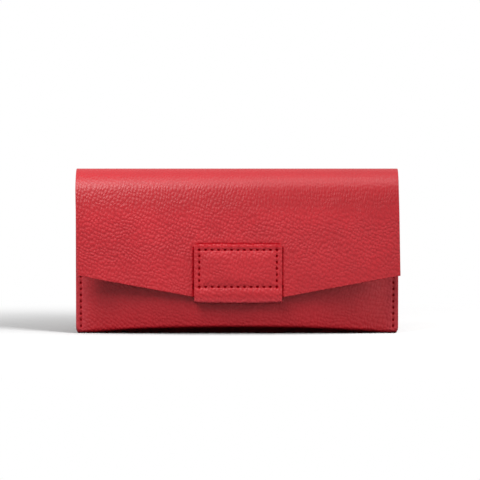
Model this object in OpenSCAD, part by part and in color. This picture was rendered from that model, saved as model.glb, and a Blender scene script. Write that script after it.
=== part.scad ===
/* [Body] */
// Width of the closed wallet, side edge to side edge
body_w = 190; // [175:1:205]
// Height from the table to the top of the rolled fold
body_h = 97.3; // [94:0.1:104]
// Room inside at the middle of the wallet, front to back
belly_gap = 18; // [17.5:0.5:22]
// Squareness of the bulging front panel, higher is flatter with steeper ends
belly_power = 2.4; // [2.2:0.1:3]
// Width of the flat margin at each side, where all layers are sewn together
seam_margin = 7; // [6:0.5:8]
// Rounding of the two bottom corners
corner_r = 2; // [1:0.5:4]
// Inner radius of the crease along the front panel's lower edge, at the middle of the wallet
crease_in_r = 0.4; // [0.3:0.1:1]
// How far the front panel's top edge stays below the centre of the roll
mouth_drop = 3; // [1:0.5:6]
// Thickness of the outer leather
hide_t = 1.5; // [1.3:0.1:1.8]

/* [Flap] */
// Width of the flap and of the roll that it hangs from
flap_w = 188.2; // [176:0.1:196]
// Sideways shift of the flap's lower corners
flap_skew = 0.8; // [0:0.1:1.5]
// Height of the flap's lower side corners above the table
flap_corner_z = 35.1; // [32:0.1:44]
// Height at which the two sloping lower edges would meet
flap_tip_z = 17.9; // [14:0.1:18]
// Gap between the front panel and the back of the closing tab
flap_clear = 0.4; // [0.3:0.1:1]
// Gap between neighbouring strips of the roll
fold_gap = 0.1; // [0.05:0.05:0.2]

/* [Closing tab] */
// Width of the folded leather tab on the flap's tip
tab_w = 51.1; // [50:0.1:60]
// Sideways place of the tab's middle
tab_x = 0.6; // [0:0.1:1]
// Height of the tab's folded lower edge above the table
tab_bottom = 19.3; // [19:0.1:21]
// Height of the tab's top edge above the table
tab_top = 52.7; // [52:0.1:58]
// Thickness of the tab's leather
tab_t = 1.2; // [1:0.1:1.4]
// Distance of the stitched rectangle from the tab's top edge
tab_stitch_top_margin = 2.4; // [2:0.1:4]
// Distance of the stitched rectangle from the tab's side edges
tab_stitch_side_margin = 3; // [2:0.1:4]
// Height of the stitched rectangle
tab_stitch_h = 21.6; // [21:0.1:26]

/* [Magnetic closure] */
// Diameter of both magnets
magnet_d = 18; // [12:1:19]
// Thickness of the magnet behind the front panel
keeper_t = 1.4; // [1:0.1:1.6]
// Height of the magnets' centres above the table
magnet_z = 40; // [39:0.5:42]
// Play around each magnet
magnet_clear = 0.1; // [0.05:0.05:0.2]
// Diameter of the leather cup that holds the keeper magnet
patch_d = 30; // [26:1:34]
// Thickness of the cup's floor
patch_floor = 0.7; // [0.5:0.1:0.8]

/* [Stitching] */
// Distance from one stitch hole to the next
stitch_pitch = 3.65; // [3:0.05:4.5]
// Distance of the side seams from the side edges
seam_inset = 3; // [2:0.1:4]
// Height of the lowest stitch hole above the table
seam_start = 4.3; // [4:0.1:8]
// Width of the thread
thread_w = 0.7; // [0.5:0.1:0.9]
// Depth of the thread in its groove
thread_d = 0.5; // [0.3:0.1:0.6]
// Space left open at each stitch hole
hole_gap = 0.8; // [0.7:0.1:1.2]
// Play of the thread in its groove, each side
groove_clear = 0.1; // [0.05:0.05:0.2]

/* [Card pockets] */
// Thickness of the panel that carries the card pockets
panel_t = 0.6; // [0.5:0.1:0.8]
// Height of the panel's bottom edge above the table
panel_bottom = 10; // [9:0.5:11]
// Height of the panel's top edge above the table
panel_top = 78; // [76:0.5:80]
// Thickness of a card pocket
pocket_t = 0.5; // [0.4:0.1:0.6]
// Height of the pockets' bottom edges above the table
pocket_bottom = 11; // [10.5:0.5:12.5]
// Height of the lowest pocket's mouth above the table
pocket_mouth = 46; // [40:0.5:50]
// Rise from one pocket's mouth to the next
pocket_rise = 10; // [7:0.5:12]
// Room for a card in each pocket
card_room = 0.4; // [0.3:0.1:0.6]
// Depth of the pocket stitching that stands out of the leather
card_thread_d = 0.3; // [0.2:0.1:0.4]

/* [Coin pocket] */
// Width of the coin pocket
coin_w = 144; // [136:1:150]
// Room in the coin pocket at its middle
coin_gap = 5.6; // [5.4:0.1:6]
// Room in the coin pocket at its sides
coin_side_gap = 0.6; // [0.4:0.1:1]
// Thickness of the coin pocket's cloth
coin_wall = 0.4; // [0.3:0.1:0.5]
// Width of the bound side edges of the coin pocket
coin_binding = 1.2; // [0.8:0.1:2]
// Height of the coin pocket's bottom above the table
coin_bottom = 14; // [12:0.5:20]
// Height of the coin pocket's top above the table
coin_top = 74; // [72:0.5:75]

/* [Zip] */
// Length of the row of teeth
zip_l = 90; // [70:2:94]
// Distance from one tooth to the next
tooth_pitch = 2; // [1.6:0.1:2.4]
// Length of a tooth along the zip
tooth_l = 1.1; // [0.8:0.1:1.3]
// Reach of a tooth from its tape towards the other row
tooth_reach = 1.8; // [1.6:0.1:1.9]
// Height of a tooth
tooth_h = 1.4; // [1.2:0.1:1.6]
// Slit between the two rows, which the slider's neck runs in
zip_slit = 0.8; // [0.7:0.1:0.9]
// Thickness of the zip's tape
tape_t = 0.4; // [0.3:0.1:0.5]
// Length of the slider
slider_l = 8; // [7:0.5:10]
// Thickness of the slider's two plates
plate_t = 0.6; // [0.5:0.1:0.8]
// Play between the slider and the teeth
slider_clear = 0.15; // [0.1:0.05:0.2]
// Thickness of the slider's two top lugs
lug_t = 0.5; // [0.4:0.1:0.6]
// Length of the pull, from its pin to its free end
pull_l = 11; // [8:0.5:12]
// Width of the pull
pull_w = 3.8; // [3:0.1:4]
// Thickness of the pull
pull_t = 0.8; // [0.6:0.1:1]
// Radius of the pin that the pull turns on
pin_r = 0.5; // [0.4:0.05:0.5]
// Running play between the pin and the pull
pin_clear = 0.05; // [0.03:0.01:0.08]

/* [Hidden] */
// Play between layers that only lie on each other
layer_clear = 0.05;
pocket_count = 3;
half_w = body_w / 2;
belly_half = half_w - seam_margin;

// The seam holds the panel and all pockets between the front and the back hide.
seam_gap = panel_t + pocket_count * (pocket_t + layer_clear) + 2 * layer_clear;

// Depths are measured forward from the outer face of the back panel.
front_out = 2 * hide_t + belly_gap;
tab_back = front_out + flap_clear;
flap_in = tab_back + tab_t;
flap_out = flap_in + hide_t;
tab_front = flap_out + tab_t;
seam_front = 2 * hide_t + seam_gap;

// The roll over the top runs from the back panel to the flap in four arcs.
roll_r = flap_out / 2;
roll_in_r = roll_r - hide_t;
roll_z = body_h - roll_r;
roll_steps = 12;
back_arc_end = 30;
back_arc_steps = 4;
top_arc_middle = 90;
front_arc_start = 150;
gap_angle = fold_gap / roll_r * 90 / PI;
mouth_z = roll_z - mouth_drop;

// Leather that bulges outward at its middle lifts the bottom fold by this share of the added gap.
fold_lift = (PI / 2 - 1) / 2;
fold_steps = 6;
seam_r = seam_gap / 2 + hide_t;
belly_stations = 16;

// Flap outline and the tab's stitched rectangle.
flap_half = flap_w / 2;
flap_end_z = tab_bottom + tab_t + hide_t;
flap_slope = (flap_corner_z - flap_tip_z) / flap_half;
flap_end_half = (flap_end_z - flap_tip_z) / flap_slope;
tab_fold_r = (tab_front - tab_back) / 2;
tab_fold_in_r = tab_fold_r - tab_t;
tab_fold_steps = 10;
tab_stitch_w = tab_w - 2 * tab_stitch_side_margin;
tab_stitch_left = tab_x - tab_stitch_w / 2;
tab_stitch_bottom = tab_top - tab_stitch_top_margin - tab_stitch_h;
tab_columns = round(tab_stitch_w / stitch_pitch);
tab_rows = round(tab_stitch_h / stitch_pitch);
tab_step_x = tab_stitch_w / tab_columns;
tab_step_z = tab_stitch_h / tab_rows;
groove_w = thread_w + 2 * groove_clear;

// Side seams.
seam_x = half_w - seam_inset;
seam_top_margin = 2.5;
seam_count = floor((mouth_z - seam_top_margin - seam_start) / stitch_pitch);

// Coin pocket against the back panel, then the card panel, then the pockets.
coin_back = hide_t + layer_clear;
coin_front = coin_back + 2 * coin_wall + coin_gap;
coin_power = 5;
coin_stations = 10;
coin_fold_z = coin_bottom + coin_wall + coin_gap / 2;
coin_fold_steps = 6;
coin_fold_turn = 7.5;
panel_power = 5;
panel_margin = 4;
panel_half = belly_half - panel_margin;
panel_points = 24;
panel_middle = coin_front + card_thread_d + 3 * layer_clear;
card_row_rise = 1.5;
card_row_z = pocket_bottom + card_row_rise;
card_row_half = panel_half - panel_margin;
card_row_count = floor(2 * card_row_half / stitch_pitch);
card_column_margin = 1;
top_mouth = pocket_mouth + (pocket_count - 1) * pocket_rise;
card_column_count = floor((top_mouth - card_row_z - card_column_margin) / stitch_pitch) - 1;

// Keeper magnet and its cup behind the front panel.
patch_front = hide_t + seam_gap + (belly_gap - seam_gap) * (1 - pow(patch_d / 2 / belly_half, belly_power))
    - layer_clear;
cup_depth = keeper_t + 2 * magnet_clear;
flap_magnet_t = hide_t - 2 * layer_clear;

// Zip across the coin pocket's mouth.
zip_half = zip_l / 2;
zip_y = coin_back + coin_wall + coin_gap / 2;
row_in = zip_slit / 2;
row_out = row_in + tooth_reach;
tooth_mid_z = coin_top + tape_t / 2;
tooth_top = tooth_mid_z + tooth_h / 2;
tooth_low = tooth_mid_z - tooth_h / 2;
stop_l = 1.2;
zip_end = zip_half + stop_l;
tape_overrun = 0.5;
tape_l = 2 * (zip_end + tape_overrun);
tape_front = min(coin_front, panel_back(tape_l / 2) - layer_clear);
slider_margin = 0.5;
slider_x = zip_half - slider_l / 2 - slider_margin;
slider_overhang = 0.5;
slider_half = row_out + slider_overhang;
lower_inset = 0.3;
lower_half = row_out - lower_inset;
lip_t = 0.4;
lip_low = coin_top + tape_t + slider_clear;
neck_w = zip_slit - 2 * slider_clear;
neck_l = 2.4;
plate_low = tooth_top + slider_clear;
plate_top = plate_low + plate_t;
lower_top = tooth_low - slider_clear;
eye_bore_r = pin_r + pin_clear;
eye_wall = 0.5;
eye_r = eye_bore_r + eye_wall;
eye_w = 1.9;
lug_gap = 0.1;
eye_rise = 0.25;
pin_z = plate_top + eye_r + eye_rise;
pin_l = eye_w + 2 * lug_gap + 2 * lug_t;

// Margin by which a cutting shape stands out of what it cuts.
cut = 1;

leather_red = "#b93a40";
lining_red = "#8f2a30";
cloth_red = "#6e2227";
thread_red = "#7c1820";
metal_gold = "#c8a45a";
metal_grey = "#9a9ea3";

// Share of the full bulge at a distance from the middle, 1 at the middle and 0 past the half width
function bulge(x, half, power) = abs(x) < half ? 1 - pow(abs(x) / half, power) : 0;

// Room between the front and the back hide across the wallet
function body_gap(x) = seam_gap + (belly_gap - seam_gap) * bulge(x, belly_half, belly_power);

// Room in the coin pocket across its width
function coin_room(x) = coin_side_gap + (coin_gap - coin_side_gap) * bulge(x, coin_w / 2, coin_power);

// Height of the back panel's lower edge, with its rounded corners, and of the front panel's lower edge
function corner_reach(x) = max(0, abs(x) - (half_w - corner_r));
function back_low(x) = corner_r - sqrt(max(0, pow(corner_r, 2) - pow(corner_reach(x), 2)));
function front_low(x) = fold_lift * (body_gap(x) - seam_gap) + back_low(x);
function front_turn_r(x) = seam_r + (crease_in_r + hide_t - seam_r) * bulge(x, belly_half, belly_power);

// Back face of the card panel, and of the pocket at a place in the stack
function panel_back(x) = coin_back + (panel_middle - coin_back) * bulge(x, panel_half, panel_power);
function pocket_seam(i) = coin_back + panel_t + layer_clear + i * (pocket_t + layer_clear);
function pocket_middle(i) = panel_middle + panel_t + card_room + i * (pocket_t + card_room);
function pocket_back(x, i) =
    pocket_seam(i) + (pocket_middle(i) - pocket_seam(i)) * bulge(x, panel_half, panel_power);

// Mouth height of the pocket at a place in the stack, the highest one lying at the back
function pocket_top(i) = pocket_mouth + (pocket_count - 1 - i) * pocket_rise;

// Point on the roll: 0 is at the back, 90 on top, 180 at the front
function on_roll(angle, r) = [roll_r - r * cos(angle), roll_z + r * sin(angle)];

// Points of an arc in depth and height
function arc(y, z, r, from, to, steps) =
    [for (i = [0 : steps]) let (a = from + (to - from) * i / steps) [y + r * cos(a), z + r * sin(a)]];

// Direction of the slanting bottom between the back turn and the front crease
function bottom_turn(away, r_difference) =
    norm(away) < layer_clear ? -90 : atan2(away[1], away[0]) - acos(-r_difference / norm(away));

// Side profile of the hide across the wallet: down the back, round the bottom and up to the front's top edge
function fold_path(x, inset) =
    let (
        depth = body_gap(x) + 2 * hide_t,
        front_r = front_turn_r(x),
        back = [seam_r, back_low(x) + seam_r],
        front = [depth - front_r, front_low(x) + front_r],
        turn = 360 + bottom_turn(front - back, front_r - seam_r),
        back_end = turn - (turn - 180) / fold_steps
    )
    concat(
        arc(back[0], back[1], seam_r - inset, 180, back_end, fold_steps - 1),
        arc(front[0], front[1], front_r - inset, turn, 360, fold_steps),
        [[depth - inset, mouth_z]]
    );

// Stations from one end to the other, closest together at the ends
function stations(half, n) = [for (i = [-n : n]) half * sin(90 * i / n)];

// Moves depth measured forward from the back panel into the wallet's own frame.
module from_back() {
    translate([0, tab_front / 2, 0]) mirror([0, 1, 0]) children();
}

// Solid between an outer and an inner path at each station, each path a list of depth and height.
module lofted_sheet(xs, outer, inner) {
    n = len(outer[0]);
    ring = 2 * n;
    points = [
        for (s = [0 : len(xs) - 1])
            for (p = concat(outer[s], [for (i = [n - 1 : -1 : 0]) inner[s][i]]))
                [xs[s], p[0], p[1]]
    ];
    last = (len(xs) - 1) * ring;
    walls = [
        for (s = [0 : len(xs) - 2])
            for (i = [0 : ring - 1])
                let (a = s * ring + i, b = s * ring + (i + 1) % ring)
                    each [[a, b + ring, b], [a, a + ring, b + ring]]
    ];
    caps = [
        for (i = [0 : n - 2])
            let (j = ring - 1 - i)
                each [
                    [i, j - 1, j], [i, i + 1, j - 1],
                    [last + i, last + j, last + j - 1], [last + i, last + j - 1, last + i + 1]
                ]
    ];
    polyhedron(points = points, faces = concat(walls, caps));
}

// Profile in depth and height, drawn out across the wallet between two places.
module drawn_across(x_from, x_to) {
    translate([x_from, 0, 0]) rotate([90, 0, 90]) linear_extrude(x_to - x_from) children();
}

// Outline in width and height, drawn out between two depths.
module drawn_forward(y_from, y_to) {
    translate([0, y_to, 0]) rotate([90, 0, 0]) linear_extrude(y_to - y_from) children();
}

// Box between two corners.
module block(low, high) {
    translate(low) cube(high - low);
}

// One stitch along X: a closed loop of thread through all layers, between two depths.
module stitch(length, y_from, y_to, bar) {
    difference() {
        block([0, y_from, -thread_w / 2], [length, y_to, thread_w / 2]);
        block([bar, y_from + bar, -thread_w], [length - bar, y_to - bar, thread_w]);
    }
}

// The same stitch running upward.
module upright_stitch(length, y_from, y_to, bar) {
    rotate([0, -90, 0]) stitch(length, y_from, y_to, bar);
}

// Outer hide: back panel with the start of the roll, bottom fold and front panel in one piece.
module shell_hide() {
    xs = stations(half_w, belly_stations);
    angles = [for (i = [back_arc_steps : -1 : 0]) (back_arc_end - gap_angle) * i / back_arc_steps];
    outer = [for (x = xs) concat([for (a = angles) on_roll(a, roll_r)], fold_path(x, 0))];
    inner = [for (x = xs) concat([for (a = angles) on_roll(a, roll_in_r)], fold_path(x, hide_t))];
    seam_low = seam_start - groove_w / 2;
    seam_high = seam_start + seam_count * stitch_pitch + groove_w / 2;
    color(leather_red) from_back() difference() {
        lofted_sheet(xs, outer, inner);
        for (x = [-seam_x, seam_x]) {
            block([x - groove_w / 2, -cut, seam_low], [x + groove_w / 2, thread_d, seam_high]);
            block([x - groove_w / 2, seam_front - thread_d, seam_low],
                [x + groove_w / 2, seam_front + cut, seam_high]);
        }
    }
}

// Strip of the roll between two angles, as wide as the flap.
module roll_strip(from, to) {
    outer = [for (i = [0 : roll_steps]) on_roll(from + (to - from) * i / roll_steps, roll_r)];
    inner = [for (i = [roll_steps : -1 : 0]) on_roll(from + (to - from) * i / roll_steps, roll_in_r)];
    drawn_across(-flap_half, flap_half) polygon(concat(outer, inner));
}

module fold_strip_back() {
    color(leather_red) from_back() roll_strip(back_arc_end + gap_angle, top_arc_middle - gap_angle);
}

module fold_strip_front() {
    color(leather_red) from_back() roll_strip(top_arc_middle + gap_angle, front_arc_start - gap_angle);
}

// Flap: the end of the roll and a leaf with a shallow pointed lower edge, holed for its magnet.
module flap_leaf() {
    arc_from = front_arc_start + gap_angle;
    steps = roll_steps / 2;
    outer = [for (i = [0 : steps]) on_roll(arc_from + (180 - arc_from) * i / steps, roll_r)];
    inner = [for (i = [steps : -1 : 0]) on_roll(arc_from + (180 - arc_from) * i / steps, roll_in_r)];
    side = concat(outer, [[flap_out, 0], [flap_in, 0]], inner);
    outline = [
        [-flap_half, body_h], [flap_half, body_h], [flap_half, roll_z],
        [flap_half + flap_skew, flap_corner_z], [flap_end_half, flap_end_z],
        [-flap_end_half, flap_end_z], [flap_skew - flap_half, flap_corner_z], [-flap_half, roll_z]
    ];
    color(leather_red) from_back() difference() {
        intersection() {
            drawn_across(-flap_half - cut, flap_half + flap_skew + cut) polygon(side);
            drawn_forward(0, flap_out + cut) polygon(outline);
        }
        translate([tab_x, 0, magnet_z]) rotate([-90, 0, 0])
            cylinder(d = magnet_d + 2 * magnet_clear, h = flap_out + cut, $fn = 96);
    }
}

// Rectangular groove for the tab's stitches, between two depths.
module tab_groove(y_from, y_to) {
    difference() {
        block([tab_stitch_left - groove_w / 2, y_from, tab_stitch_bottom - groove_w / 2],
            [tab_stitch_left + tab_stitch_w + groove_w / 2, y_to,
                tab_stitch_bottom + tab_stitch_h + groove_w / 2]);
        block([tab_stitch_left + groove_w / 2, y_from - cut, tab_stitch_bottom + groove_w / 2],
            [tab_stitch_left + tab_stitch_w - groove_w / 2, y_to + cut,
                tab_stitch_bottom + tab_stitch_h - groove_w / 2]);
    }
}

// Closing tab: a strip of leather folded round the flap's lower edge and sewn through it.
module closing_tab() {
    y = tab_back + tab_fold_r;
    z = tab_bottom + tab_fold_r;
    outer = arc(y, z, tab_fold_r, 180, 360, tab_fold_steps);
    inner = arc(y, z, tab_fold_in_r, 360, 180, tab_fold_steps);
    side = concat([[tab_back, tab_top]], outer, [[tab_front, tab_top], [flap_out, tab_top]],
        inner, [[flap_in, tab_top]]);
    color(leather_red) from_back() difference() {
        drawn_across(tab_x - tab_w / 2, tab_x + tab_w / 2) polygon(side);
        tab_groove(tab_back - cut, tab_back + thread_d);
        tab_groove(tab_front - thread_d, tab_front + cut);
    }
}

// Rows and columns of stitches that hold the tab's two leaves to the flap.
module tab_thread() {
    color(thread_red) from_back() {
        for (z = [tab_stitch_bottom, tab_stitch_bottom + tab_stitch_h])
            for (i = [0 : tab_columns - 1])
                translate([tab_stitch_left + i * tab_step_x + hole_gap / 2, 0, z])
                    stitch(tab_step_x - hole_gap, tab_back, tab_front, thread_d);
        for (x = [tab_stitch_left, tab_stitch_left + tab_stitch_w])
            for (i = [0 : tab_rows - 1])
                translate([x, 0, tab_stitch_bottom + i * tab_step_z + hole_gap / 2])
                    upright_stitch(tab_step_z - hole_gap, tab_back, tab_front, thread_d);
    }
}

// Magnet let into the flap, covered by the tab on both sides.
module flap_magnet() {
    color(metal_grey) from_back() translate([tab_x, flap_in + layer_clear, magnet_z]) rotate([-90, 0, 0])
        cylinder(d = magnet_d, h = flap_magnet_t, $fn = 96);
}

// Magnet behind the front panel that draws the flap shut.
module keeper_magnet() {
    color(metal_grey) from_back() translate([tab_x, patch_front - magnet_clear - keeper_t, magnet_z])
        rotate([-90, 0, 0]) cylinder(d = magnet_d, h = keeper_t, $fn = 96);
}

// Moulded leather cup glued to the inside of the front panel over the keeper magnet.
module magnet_cup() {
    color(lining_red) from_back() translate([tab_x, patch_front, magnet_z]) rotate([90, 0, 0]) difference() {
        cylinder(d = patch_d, h = cup_depth + patch_floor, $fn = 96);
        translate([0, 0, -cut]) cylinder(d = magnet_d + 2 * magnet_clear, h = cup_depth + cut, $fn = 96);
    }
}

// Row of stitches up one side, through the front and back hide and all that lies between.
module seam_thread(x) {
    color(thread_red) from_back()
        for (i = [0 : seam_count - 1])
            translate([x, 0, seam_start + i * stitch_pitch + hole_gap / 2])
                upright_stitch(stitch_pitch - hole_gap, 0, seam_front, thread_d);
}

module left_seam_thread() {
    seam_thread(-seam_x);
}

module right_seam_thread() {
    seam_thread(seam_x);
}

// Solid of the coin pocket's shape, with its sides drawn in by a wall's thickness.
module coin_form(half, wall, top_z) {
    xs = stations(half, coin_stations);
    y = coin_back + wall;
    back = [
        for (x = xs)
            let (r = coin_room(x) / 2 + coin_wall - wall)
                concat([[y, top_z]], arc(y + r, coin_fold_z, r, 180, 270 - coin_fold_turn, coin_fold_steps))
    ];
    front = [
        for (x = xs)
            let (r = coin_room(x) / 2 + coin_wall - wall)
                concat([[y + 2 * r, top_z]],
                    arc(y + r, coin_fold_z, r, 360, 270 + coin_fold_turn, coin_fold_steps))
    ];
    lofted_sheet(xs, back, front);
}

// Cloth coin pocket, folded at the bottom and bound at its sides.
module coin_pocket() {
    color(cloth_red) from_back() difference() {
        coin_form(coin_w / 2, 0, coin_top);
        coin_form(coin_w / 2 - coin_binding, coin_wall, coin_top + cut);
    }
}

// Upright sheet that follows a curved line across the wallet, given by its back face at each place.
module curved_sheet(xs, back, thickness, z_from, z_to) {
    n = len(xs) - 1;
    line = concat([for (i = [0 : n]) [xs[i], back[i]]],
        [for (i = [n : -1 : 0]) [xs[i], back[i] + thickness]]);
    translate([0, 0, z_from]) linear_extrude(z_to - z_from) polygon(line);
}

panel_xs = concat([-half_w], stations(panel_half, panel_points), [half_w]);

// Panel across the whole inside that carries the card pockets and is caught in both side seams.
module card_panel() {
    color(lining_red) from_back()
        curved_sheet(panel_xs, [for (x = panel_xs) panel_back(x)], panel_t, panel_bottom, panel_top);
}

// Card pocket at a place in the stack, counted from the back.
module card_pocket(i) {
    color(lining_red) from_back()
        curved_sheet(panel_xs, [for (x = panel_xs) pocket_back(x, i)],
            pocket_t, pocket_bottom, pocket_top(i));
}

module card_pocket_top() {
    card_pocket(0);
}

module card_pocket_middle() {
    card_pocket(1);
}

module card_pocket_low() {
    card_pocket(2);
}

// Last pocket in the stack whose mouth is above a height
function front_pocket(z) = max([for (i = [0 : pocket_count - 1]) pocket_top(i) > z ? i : 0]);

// Stitches along the pockets' bottom edges and up the line between the two columns of cards.
module card_thread() {
    row_left = -card_row_count * stitch_pitch / 2;
    last_pocket = pocket_count - 1;
    color(thread_red) from_back() {
        for (i = [0 : card_row_count - 1]) {
            x = row_left + i * stitch_pitch + hole_gap / 2;
            length = stitch_pitch - hole_gap;
            rise = panel_back(x + length) - panel_back(x);
            translate([x, panel_back(x), card_row_z]) rotate([0, 0, atan(rise / length)])
                stitch(length, -card_thread_d,
                    pocket_back(x, last_pocket) - panel_back(x) + pocket_t + card_thread_d, card_thread_d);
        }
        for (i = [0 : card_column_count - 1]) {
            z = card_row_z + card_column_margin + i * stitch_pitch + hole_gap / 2;
            translate([0, 0, z])
                upright_stitch(stitch_pitch - hole_gap, panel_middle - card_thread_d,
                    pocket_middle(front_pocket(z + stitch_pitch)) + pocket_t + card_thread_d, card_thread_d);
        }
    }
}

// Woven tape along the back of the zip, sewn to the coin pocket's back wall.
module zip_tape_back() {
    color(cloth_red) from_back()
        block([-tape_l / 2, coin_back, coin_top], [tape_l / 2, zip_y - row_out, coin_top + tape_t]);
}

// Woven tape along the front of the zip, sewn to the coin pocket's front wall.
module zip_tape_front() {
    color(cloth_red) from_back()
        block([-tape_l / 2, zip_y + row_out, coin_top], [tape_l / 2, tape_front, coin_top + tape_t]);
}

// Row of teeth at one edge of the slit, side -1 for the back row and 1 for the front one.
module teeth_row(side) {
    shift = side > 0 ? tooth_pitch : tooth_pitch / 2;
    count = floor((zip_l - shift - tooth_l / 2) / tooth_pitch) + 1;
    y = zip_y + side * (row_in + row_out) / 2;
    color(metal_gold) from_back()
        for (i = [0 : count - 1])
            translate([i * tooth_pitch + shift - zip_half, y, tooth_mid_z])
                cube([tooth_l, tooth_reach, tooth_h], center = true);
}

module zip_teeth_back() {
    teeth_row(-1);
}

module zip_teeth_front() {
    teeth_row(1);
}

// Two top stops at the closed end and one bridging stop at the open end.
module zip_stops() {
    color(metal_gold) from_back() {
        block([-zip_end, zip_y - row_out, tooth_low], [-zip_half, zip_y + row_out, tooth_top]);
        block([zip_half, zip_y - row_out, tooth_low], [zip_end, zip_y - row_in, tooth_top]);
        block([zip_half, zip_y + row_in, tooth_low], [zip_end, zip_y + row_out, tooth_top]);
    }
}

// Slider: two plates joined by a neck in the slit, with lips over the teeth and a pin for the pull.
module zip_slider() {
    color(metal_gold) from_back() translate([slider_x, zip_y, 0]) {
        block([-slider_l / 2, -slider_half, plate_low], [slider_l / 2, slider_half, plate_top]);
        block([-slider_l / 2, -lower_half, lower_top - plate_t], [slider_l / 2, lower_half, lower_top]);
        block([-neck_l / 2, -neck_w / 2, lower_top - plate_t], [neck_l / 2, neck_w / 2, plate_top]);
        for (side = [-1, 1]) {
            lip_y = side * (slider_half - lip_t / 2);
            lug_y = side * (eye_w / 2 + lug_gap + lug_t / 2);
            block([-slider_l / 2, lip_y - lip_t / 2, lip_low], [slider_l / 2, lip_y + lip_t / 2, plate_top]);
            block([-eye_bore_r, lug_y - lug_t / 2, plate_low],
                [eye_bore_r, lug_y + lug_t / 2, pin_z + eye_bore_r]);
        }
        translate([0, 0, pin_z]) rotate([90, 0, 0]) cylinder(r = pin_r, h = pin_l, center = true, $fn = 48);
    }
}

// Pull: an eye round the slider's pin and a flat tongue with a rounded end.
module zip_pull() {
    color(metal_gold) from_back() translate([slider_x, zip_y, pin_z]) difference() {
        union() {
            rotate([90, 0, 0]) cylinder(r = eye_r, h = eye_w, center = true, $fn = 48);
            block([pull_w / 2 - pull_l, -pull_w / 2, -pull_t / 2],
                [-eye_r - lug_gap, pull_w / 2, pull_t / 2]);
            block([-eye_r - 2 * lug_gap, -eye_w / 2, -pull_t / 2], [0, eye_w / 2, pull_t / 2]);
            translate([pull_w / 2 - pull_l, 0, 0]) cylinder(d = pull_w, h = pull_t, center = true, $fn = 48);
        }
        rotate([90, 0, 0]) cylinder(r = eye_bore_r, h = eye_w + 2 * cut, center = true, $fn = 48);
    }
}

shell_hide();
fold_strip_back();
fold_strip_front();
flap_leaf();
closing_tab();
tab_thread();
flap_magnet();
keeper_magnet();
magnet_cup();
left_seam_thread();
right_seam_thread();
coin_pocket();
card_panel();
card_pocket_low();
card_pocket_middle();
card_pocket_top();
card_thread();
zip_tape_back();
zip_tape_front();
zip_teeth_back();
zip_teeth_front();
zip_stops();
zip_slider();
zip_pull();
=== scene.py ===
import math

import bmesh
import bpy
from mathutils import Matrix, Vector, noise


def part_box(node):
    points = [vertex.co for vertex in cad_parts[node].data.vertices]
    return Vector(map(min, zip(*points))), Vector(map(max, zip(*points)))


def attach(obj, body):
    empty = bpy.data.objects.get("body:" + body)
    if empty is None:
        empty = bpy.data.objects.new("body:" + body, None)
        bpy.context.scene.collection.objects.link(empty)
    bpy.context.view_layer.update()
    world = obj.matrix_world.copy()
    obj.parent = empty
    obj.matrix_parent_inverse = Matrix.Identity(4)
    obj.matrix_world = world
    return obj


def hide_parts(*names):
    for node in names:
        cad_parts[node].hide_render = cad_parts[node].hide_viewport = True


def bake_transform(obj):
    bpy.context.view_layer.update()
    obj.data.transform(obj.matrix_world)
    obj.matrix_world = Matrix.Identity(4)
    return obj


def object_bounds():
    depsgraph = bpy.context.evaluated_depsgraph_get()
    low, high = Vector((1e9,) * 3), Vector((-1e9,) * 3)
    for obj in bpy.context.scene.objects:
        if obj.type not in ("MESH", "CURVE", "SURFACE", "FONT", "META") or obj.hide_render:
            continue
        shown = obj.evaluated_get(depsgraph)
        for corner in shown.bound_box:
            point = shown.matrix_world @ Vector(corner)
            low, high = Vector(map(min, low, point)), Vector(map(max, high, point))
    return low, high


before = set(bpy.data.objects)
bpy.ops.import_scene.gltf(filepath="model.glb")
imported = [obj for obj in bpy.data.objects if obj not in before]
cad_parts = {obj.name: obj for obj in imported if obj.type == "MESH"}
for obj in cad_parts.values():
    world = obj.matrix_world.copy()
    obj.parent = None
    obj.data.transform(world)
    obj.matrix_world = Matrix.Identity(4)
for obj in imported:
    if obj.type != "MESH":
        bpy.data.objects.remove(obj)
cad_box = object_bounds()

# Camera: a long lens a little above the wallet's middle, looking straight at its front from so far
# off that upright edges stay upright. Colours show as they are written.
MM = 0.001
scene = bpy.context.scene
view_distance = 1.5
view_rise = math.radians(3)
view_aim = Vector((1.71, 9.95, 55.0)) * MM
camera_data = bpy.data.cameras.new("camera")
camera_data.lens = 190.8
camera_data.sensor_width = 36
camera_data.clip_end = 20
camera = bpy.data.objects.new("camera", camera_data)
camera.location = view_aim + view_distance * Vector((0, -math.cos(view_rise), math.sin(view_rise)))
camera.rotation_euler = (math.pi / 2 - view_rise, 0, 0)
scene.collection.objects.link(camera)
scene.camera = camera
scene.view_settings.view_transform = "Standard"


# Outer hide: back panel, bottom fold and front panel in one bent piece of pebbled red leather,
# napped on the inside and painted along its cut edges. It is creased round the bottom and
# sewn to itself along both sides, so that its front panel bulges between the seams.
hide_t = 1.5 * MM
edge_r = 0.4 * MM
half_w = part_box("shell_hide")[1][0]
back_y = cad_box[1][1]
flap_low = Vector(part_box("flap_leaf")[0])
roll_r = (back_y - flap_low.y) / 2
roll_z = cad_box[1][2] - roll_r
mouth_drop = 3 * MM
mouth_z = roll_z - mouth_drop
seam_gap = 2.35 * MM
seam_r = seam_gap / 2 + hide_t
belly_gap = 18 * MM
belly_margin = 7 * MM
belly_half = half_w - belly_margin
belly_power = 2.4
corner_r = 2 * MM
fold_lift = (math.pi / 2 - 1) / 2
crease_inner_r = 0.4 * MM
crease_r = hide_t + crease_inner_r
foot_in = 4.2 * MM
foot_z = 32 * MM
foot_power = 1.5
front_ripple = 0.35 * MM
ripple_fade = 20 * MM
least_gap = 0.01 * MM

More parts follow.
